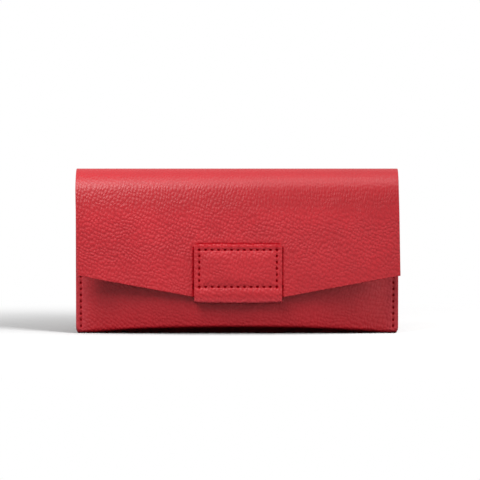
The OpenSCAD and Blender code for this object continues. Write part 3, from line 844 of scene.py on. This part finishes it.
lining = lining_material()
lining_materials = (lining, hide_edge, hide_flesh)
cup = bmesh.new()
cup.loops.layers.uv.new("flat_mm")
bmesh.ops.create_cone(cup, cap_ends=True, segments=64, radius1=cup_r, radius2=cup_r, depth=cup_depth,
                      matrix=Matrix.Translation((cup_low + cup_high) / 2) @ quarter_turn, calc_uvs=True)
mouth = min(cup.faces, key=lambda face: face.calc_center_median().y)
bmesh.ops.inset_region(cup, faces=[mouth], thickness=cup_r - cup_bore_r)
sunk = bmesh.ops.extrude_face_region(cup, geom=[mouth])["geom"]
bmesh.ops.translate(cup, vec=(0, cup_depth - cup_floor, 0), verts=verts_of(sunk))
bmesh.ops.delete(cup, geom=[mouth], context="FACES")
rims = [edge for edge in cup.edges if len(edge.link_faces) == 2 and edge.calc_face_angle() > sharp_angle]
rounded(cup, rims, cup_rim_r)
add_piece("magnet_cup_leather", cup, "wallet_body", (lining,), ["magnet_cup"])


# Card panel: one sheet of lining leather across the whole inside, caught in both side seams, with three
# pockets sewn on one above the other. Each pocket's mouth is turned over and creased.
panel_t = 0.6 * MM
panel_inset = 4 * MM
panel_half = belly_half - panel_inset
panel_power = 5
pocket_t = 0.5 * MM
pocket_nodes = ("card_pocket_low", "card_pocket_middle", "card_pocket_top")
hem_h = 2.6 * MM
hem_lift = 0.2 * MM
hem_soft = 0.3 * MM
hem_crease = 0.15 * MM
hem_crease_drop = 0.5 * MM


def panel_front(box, thickness, x):
    """Front face of the card panel or of a pocket."""
    seam_y = box[1][1] - thickness
    return seam_y - (seam_y - box[0][1]) * bulge(x, panel_half, panel_power)


def card_sheet(name, node, thickness):
    """Sheet that follows the bulge of the coin pocket behind it, with a turned mouth."""
    box = box_of(node)
    low, high = box
    hem_z = high.z - hem_h

    def bend(x, z, below):
        hem = hem_lift * eased(z, hem_z - hem_soft, hem_z + hem_soft)
        crease = hem_crease * math.exp(-((z - hem_z + hem_crease_drop) / hem_soft) ** 2)
        swell = (hem - crease) * (below == 0.0) * (abs(x) < panel_half)
        return Vector((x, panel_front(box, thickness, x) + below - swell, z)), (x / MM, z / MM), 0.0

    columns = [low.x, low.x + 0.8 * MM] + spread(-panel_half - 2 * MM, panel_half + 2 * MM, 2.0 * MM)
    columns += [high.x - 0.8 * MM, high.x]
    rows = spread(low.z, high.z - 5 * MM, 5 * MM) + spread(high.z - 4.4 * MM, high.z - 1.6 * MM, 0.28 * MM)
    rows += [high.z - 0.8 * MM, high.z]
    sheet = bent_sheet(columns, rows, bend, thickness, rounding=thickness * 0.4)
    add_piece(name, sheet, "wallet_body", lining_materials, [node])


card_sheet("card_panel_leather", "card_panel", panel_t)
for node in pocket_nodes:
    card_sheet(f"{node}_leather", node, pocket_t)

row_count = 43
row_z = 12.5 * MM
row_points = []
low_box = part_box("card_pocket_low")
for i in range(row_count + 1):
    x = (i - row_count / 2) * stitch_pitch
    row_points.append(Vector((x, panel_front(low_box, pocket_t, x), row_z)))
card_bars = bars_along(row_points, FORWARD)
column_count = 13
column_z = row_z + 1 * MM
for i in range(column_count):
    low_z = column_z + i * stitch_pitch
    front_box = next(box for box in map(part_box, pocket_nodes) if box[1][2] > low_z + stitch_pitch)
    y = panel_front(front_box, pocket_t, 0.0)
    card_bars += bars_along([Vector((0, y, low_z)), Vector((0, y, low_z + stitch_pitch))], FORWARD)
add_piece("card_stitches", sewn(card_bars), "wallet_body", (thread_red,), ["card_thread"])


# Coin pocket: red twill cloth folded once at the bottom, glued by its back to the back panel and open
# at the top for the zip. Its sides lie flat together.
cloth_t = 0.4 * MM
cloth_edge_r = 0.12 * MM
cloth_dark = (0.09, 0.009, 0.011, 1)
cloth_light = (0.17, 0.022, 0.026, 1)
coin_low, coin_high = box_of("coin_pocket")
coin_turn_z = 17.2 * MM
coin_power = 5
least_room = 0.05 * MM


def twill():
    """Diagonal weave in millimetres of the flat cloth, as ribs of yarn."""
    tree, given, made = shader_group(
        "twill", {"Place": "NodeSocketVector", "Pitch": "NodeSocketFloat"}, ("Height",))
    place, pitch = given.outputs["Place"], given.outputs["Pitch"]
    parts = put(tree, "ShaderNodeSeparateXYZ", Vector=place)
    slant = calc(tree, "ADD", parts.outputs["X"], parts.outputs["Y"])
    ribs = calc(tree, "SINE", calc(tree, "DIVIDE", slant, pitch))
    yarns = calc(tree, "SINE", calc(tree, "DIVIDE", calc(tree, "MULTIPLY", parts.outputs["X"], 2.5), pitch))
    height = calc(tree, "MULTIPLY_ADD", yarns, 0.3, ribs)
    feed(tree, made, Height=calc(tree, "MULTIPLY_ADD", cloudy(tree, place, 4.0, 2.0), 0.8, height))
    return tree


twill_group = twill()


def cloth_material(name, dark, light, pitch):
    """Woven cloth of two shades of one colour."""
    material, tree, shader = new_material(name)
    weave = put(tree, "ShaderNodeGroup", {"node_tree": twill_group}, Place=flat_place(tree), Pitch=pitch)
    height = weave.outputs["Height"]
    feed(tree, shader, Base_Color=mixed(tree, ramp(tree, height, -0.8, 1.4), dark, light), Roughness=0.9,
         Specular_IOR_Level=0.2, Normal=bumped(tree, height, 0.05 * MM))
    return material


pocket_cloth = cloth_material("pocket_cloth", cloth_dark, cloth_light, pitch=0.12)
cloth_materials = (pocket_cloth, pocket_cloth, pocket_cloth)


def coin_bend(x, row, below):
    """Row runs from 0 down the back to 1, round the fold to 2 and up the front to 3."""
    room = (coin_high.y - coin_low.y - 2 * cloth_t) * bulge(x, coin_high.x, coin_power)
    radius = max(room, least_room) / 2 + cloth_t
    leg, share = leg_of(row)
    drop = coin_high.z - coin_turn_z
    if leg == 1:
        angle = math.pi * (1 + share)
        forward = radius + (radius - below) * math.cos(angle)
        z = coin_turn_z + (radius - below) * math.sin(angle)
    else:
        forward = below if leg == 0 else 2 * radius - below
        z = coin_high.z - drop * share if leg == 0 else coin_turn_z + drop * share
    return Vector((x, coin_high.y - forward, z)), (x / MM, row * drop / MM), 0.0


coin_rows = spread(0.0, 1.0, 0.1) + turn_rows(12) + spread(2.0, 3.0, 0.1)
coin_columns = spread(coin_low.x, coin_high.x, 2.0 * MM)
coin = bent_sheet(coin_columns, coin_rows, coin_bend, cloth_t, rounding=cloth_edge_r)
add_piece("coin_pocket_cloth", coin, "wallet_body", cloth_materials, ["coin_pocket"])


# Zip: two woven tapes along the coin pocket's mouth, brass teeth clamped on their edges, end stops, and a
# slider with a pull that swings on its pin.
tape_dark = (0.1, 0.01, 0.012, 1)
tape_light = (0.2, 0.026, 0.03, 1)
tape_edge_r = 0.08 * MM
brass_bright = (0.78, 0.56, 0.26, 1)
brass_dull = (0.55, 0.36, 0.15, 1)
zip_tape = cloth_material("zip_tape", tape_dark, tape_light, pitch=0.08)
for side in ("back", "front"):
    low, high = box_of(f"zip_tape_{side}")

    def tape_bend(x, y, below, top=high.z):
        return Vector((x, y, top - below)), (x / MM, y / MM), 0.0

    tape = bent_sheet(spread(low.x, high.x, 1.0 * MM), spread(low.y, high.y, 0.25 * MM), tape_bend,
                      high.z - low.z, rounding=tape_edge_r)
    add_piece(f"zip_tape_{side}_cloth", tape, "wallet_body", (zip_tape, zip_tape, zip_tape),
              [f"zip_tape_{side}"])


def brass_material():
    """Polished brass with fine scratches and a little tarnish."""
    material, tree, shader = new_material("zip_brass")
    place = object_place(tree)
    scratches = cloudy(tree, calc_vector(tree, "MULTIPLY", place, (300, 3000, 3000)), 1.0, 3.0)
    tarnish = ramp(tree, cloudy(tree, place, 250.0, 3.0), 0.4, 0.75)
    feed(tree, shader, Base_Color=mixed(tree, tarnish, brass_bright, brass_dull), Metallic=1.0,
         Roughness=ramp(tree, scratches, 0.3, 0.7, low=0.18, high=0.36),
         Normal=bumped(tree, scratches, 0.004 * MM))
    return material


zip_brass = brass_material()


def rounded_block(bm, low, high, corner, rim):
    """Adds a block between two corners, its upright edges and its rims rounded by so many millimetres."""
    low, high = Vector(low), Vector(high)
    block = bmesh.new()
    bmesh.ops.create_cube(block, size=1.0, matrix=Matrix.Translation((low + high) / 2)
                          @ Matrix.Diagonal((*(high - low), 1.0)))
    half_h = (high.z - low.z) / 2
    upright = [edge for edge in block.edges if abs(edge.verts[0].co.z - edge.verts[1].co.z) > half_h]
    rounded(block, upright, corner * MM, segments=4)
    rims = [edge for edge in block.edges
            if {abs(face.normal.z) > 0.9 for face in edge.link_faces} == {True, False}]
    rounded(block, rims, rim * MM, segments=2)
    part = bpy.data.meshes.new("part")
    block.to_mesh(part)
    block.free()
    bm.from_mesh(part)
    bpy.data.meshes.remove(part)


tooth_l = 1.1 * MM
tooth_pitch = 2 * MM
for side in ("back", "front"):
    low, high = box_of(f"zip_teeth_{side}")
    teeth = bmesh.new()
    for i in range(round((high.x - low.x - tooth_l) / tooth_pitch) + 1):
        x = low.x + i * tooth_pitch
        rounded_block(teeth, (x, low.y, low.z), (x + tooth_l, high.y, high.z), corner=0.25, rim=0.2)
    add_piece(f"zip_{side}_teeth_brass", teeth, "wallet_body", (zip_brass,),
              [f"zip_teeth_{side}"])

stop_low, stop_high = box_of("zip_stops")
stop_l = 1.2 * MM
stop_w = 1.8 * MM
stops = bmesh.new()
rounded_block(stops, stop_low, (stop_low.x + stop_l, stop_high.y, stop_high.z), corner=0.3, rim=0.25)
for y in (stop_low.y, stop_high.y - stop_w):
    rounded_block(stops, (stop_high.x - stop_l, y, stop_low.z), (stop_high.x, y + stop_w, stop_high.z),
                  corner=0.3, rim=0.25)
add_piece("zip_stops_brass", stops, "wallet_body", (zip_brass,), ["zip_stops"])

slider_low, slider_high = box_of("zip_slider")
slider_mid = (slider_low + slider_high) / 2
plate_t = 0.6 * MM
plate_z = 75.05 * MM
plate_mid_z = plate_z + plate_t / 2
lower_half = 1.9 * MM
neck = Vector((1.2, 0.25, 0)) * MM
lip_t = 0.4 * MM
lip_z = 74.55 * MM
lip_inset = 1.4 * MM
lug = Vector((0.55, 0.25, 0)) * MM
lug_y = 1.3 * MM
pin_r = 0.5 * MM
pin_l = 3.1 * MM
pin_z = 76.95 * MM
slider = bmesh.new()
rounded_block(slider, (slider_low.x, slider_low.y, plate_z),
              (slider_high.x, slider_high.y, plate_z + plate_t), corner=1.4, rim=0.2)
rounded_block(slider, (slider_low.x, slider_mid.y - lower_half, slider_low.z),
              (slider_high.x, slider_mid.y + lower_half, slider_low.z + plate_t), corner=1.2, rim=0.2)
rounded_block(slider, (slider_mid.x - neck.x, slider_mid.y - neck.y, slider_low.z + plate_t / 2),
              (slider_mid.x + neck.x, slider_mid.y + neck.y, plate_mid_z), corner=0.1, rim=0.05)
for side in (-1, 1):
    lip_y = slider_mid.y + side * (slider_high.y - slider_mid.y - lip_t / 2)
    rounded_block(slider, (slider_low.x + lip_inset, lip_y - lip_t / 2, lip_z),
                  (slider_high.x - lip_inset, lip_y + lip_t / 2, plate_mid_z), corner=0.1, rim=0.08)
    y = slider_mid.y + side * lug_y
    rounded_block(slider, (slider_mid.x - lug.x, y - lug.y, plate_mid_z),
                  (slider_mid.x + lug.x, y + lug.y, slider_high.z), corner=0.12, rim=0.12)
pin_place = Matrix.Translation((slider_mid.x, slider_mid.y, pin_z)) @ quarter_turn
bmesh.ops.create_cone(slider, cap_ends=True, segments=24, radius1=pin_r, radius2=pin_r, depth=pin_l,
                      matrix=pin_place)
add_piece("zip_slider_brass", slider, "slider", (zip_brass,), ["zip_slider"])

pull_low, pull_high = box_of("zip_pull")
pull_mid_y = (pull_low.y + pull_high.y) / 2
pull_half_t = 0.4 * MM
tongue_gap = 1.15 * MM
tongue_inset = 0.6 * MM
tongue_sink = 0.15 * MM
eye_r = 1.05 * MM
eye_ring_r = 0.25 * MM
eye_half = 0.7 * MM
bridge_half_w = 0.9 * MM
bridge_start = 1.3 * MM
bridge_end = 0.75 * MM
pull = bmesh.new()
rounded_block(pull, (pull_low.x, pull_low.y, pin_z - pull_half_t),
              (slider_mid.x - tongue_gap, pull_high.y, pin_z + pull_half_t), corner=1.85, rim=0.15)
tongue = [face for face in pull.faces if abs(face.normal.z) > 0.99]
bmesh.ops.inset_individual(pull, faces=tongue, thickness=tongue_inset, depth=-tongue_sink)
for side in (-1, 1):
    y = pull_mid_y + side * eye_half
    ring = bmesh.ops.create_circle(pull, segments=10, radius=eye_ring_r, matrix=Matrix.Translation(
        (slider_mid.x - eye_r + eye_ring_r, y, pin_z)))["verts"]
    bmesh.ops.spin(pull, geom=ring + edges_of(ring), cent=(slider_mid.x, y, pin_z), axis=(0, 1, 0),
                   angle=2 * math.pi, steps=24, use_merge=True)
rounded_block(pull, (slider_mid.x - bridge_start, pull_mid_y - bridge_half_w, pin_z - eye_ring_r),
              (slider_mid.x - bridge_end, pull_mid_y + bridge_half_w, pin_z + eye_ring_r),
              corner=0.1, rim=0.08)
add_piece("zip_pull_brass", pull, "pull", (zip_brass,), ["zip_pull"])


# Floor: a white table that keeps the wallet's shadow and runs into a white background. It is white to the
# eye and in reflections, and dark to scattered light, so that it throws little of it up on the leather.
# Right round the wallet's foot it is painted darker still in reflections and scattered light, as contact
# shade.
floor_half = 6.0
floor_seen = (0.39, 0.39, 0.39, 1)
floor_bm = bmesh.new()
bmesh.ops.create_grid(floor_bm, x_segments=1, y_segments=1, size=floor_half)
floor_mesh = bpy.data.meshes.new("floor")
floor_bm.to_mesh(floor_mesh)
floor_bm.free()
floor = bpy.data.objects.new("floor", floor_mesh)
scene.collection.objects.link(floor)


def white_to_viewer(tree, path):
    """1 for rays that show the background as white: straight or through glass."""
    return calc(tree, "MAXIMUM", path.outputs["Is Camera Ray"], path.outputs["Is Transmission Ray"])


floor_material, tree, shader = new_material("floor_white")
aside = calc_vector(tree, "ABSOLUTE", object_place(tree))
outside = calc_vector(tree, "SUBTRACT", aside, (half_w, back_y, 0.0))
outside = calc_vector(tree, "MAXIMUM", outside, (0, 0, 0))
away = put(tree, "ShaderNodeVectorMath", {"operation": "LENGTH"}, i0=outside).outputs["Value"]
path = put(tree, "ShaderNodeLightPath")
shown = white_to_viewer(tree, path)
mirrored = path.outputs["Is Glossy Ray"]
# Painted contact shade: scattered and reflected light off the floor fade to black at the wallet's foot.
scattered = ramp(tree, away, 0.0, 0.1, low=0.0, high=0.085)
bounced = mixed(tree, mirrored, scattered, ramp(tree, away, 0.0, 0.005, low=0.0, high=0.39))
feed(tree, shader, Base_Color=mixed(tree, shown, bounced, floor_seen), Roughness=1.0, Specular_IOR_Level=0.0)
white = put(tree, "ShaderNodeEmission", Strength=1.0).outputs[0]
far_share = calc(tree, "MULTIPLY", calc(tree, "MAXIMUM", shown, mirrored), ramp(tree, away, 0.05, 0.23))
blended = put(tree, "ShaderNodeMixShader", i0=far_share, i1=shader.outputs[0], i2=white).outputs[0]
feed(tree, tree.nodes["Material Output"], Surface=blended)
floor_mesh.materials.append(floor_material)


# Light: a soft lamp high at the front, one at the right, a near one at the left that puts a sheen on the
# roll, a low one at the front right for the floor alone, and a white room that is darker in front.
room_light = 0.63
room_front = 0.065
room_behind = 1.0
wallet_foot = (0.0, 0.0, 0.0)
wallet_middle = (0.0, 0.0, 0.05)
roll_left = (-0.06, 0.0, 0.08)
world = bpy.data.worlds.new("room")
scene.world = world
world.use_nodes = True
tree = world.node_tree
path = put(tree, "ShaderNodeLightPath")
towards = put(tree, "ShaderNodeSeparateXYZ", Vector=put(tree, "ShaderNodeTexCoord").outputs["Generated"])
mirrored = calc(tree, "MULTIPLY", path.outputs["Is Glossy Ray"],
                ramp(tree, towards.outputs["Y"], -0.3, 0.4, low=room_front, high=room_behind))
plain = calc(tree, "MULTIPLY", path.outputs["Is Diffuse Ray"], room_light)
strength = calc(tree, "MAXIMUM", white_to_viewer(tree, path), calc(tree, "MAXIMUM", mirrored, plain))
feed(tree, tree.nodes["Background"], Color=(1, 1, 1, 1), Strength=strength)


def lamp(name, place, aim, size, power):
    """Square soft lamp that looks at a point."""
    data = bpy.data.lights.new(name, "AREA")
    data.size = size
    data.energy = power
    made = bpy.data.objects.new(name, data)
    made.location = place
    made.rotation_euler = (Vector(aim) - Vector(place)).to_track_quat("-Z", "Y").to_euler()
    scene.collection.objects.link(made)
    return made


lamp("top", (0.2, -0.4, 1.15), wallet_middle, size=0.6, power=4.0)
lamp("right", (1.1, -0.3, 0.5), wallet_middle, size=0.6, power=5.4)
lamp("sheen", (-0.22, -0.29, 0.385), roll_left, size=0.28, power=1.95)
low_lamp = lamp("low", (1.118, -0.938, 0.35), wallet_foot, size=0.6, power=132.0)
lit_floor = bpy.data.collections.new("lit_floor")
lit_floor.objects.link(floor)
low_lamp.light_linking.receiver_collection = lit_floor
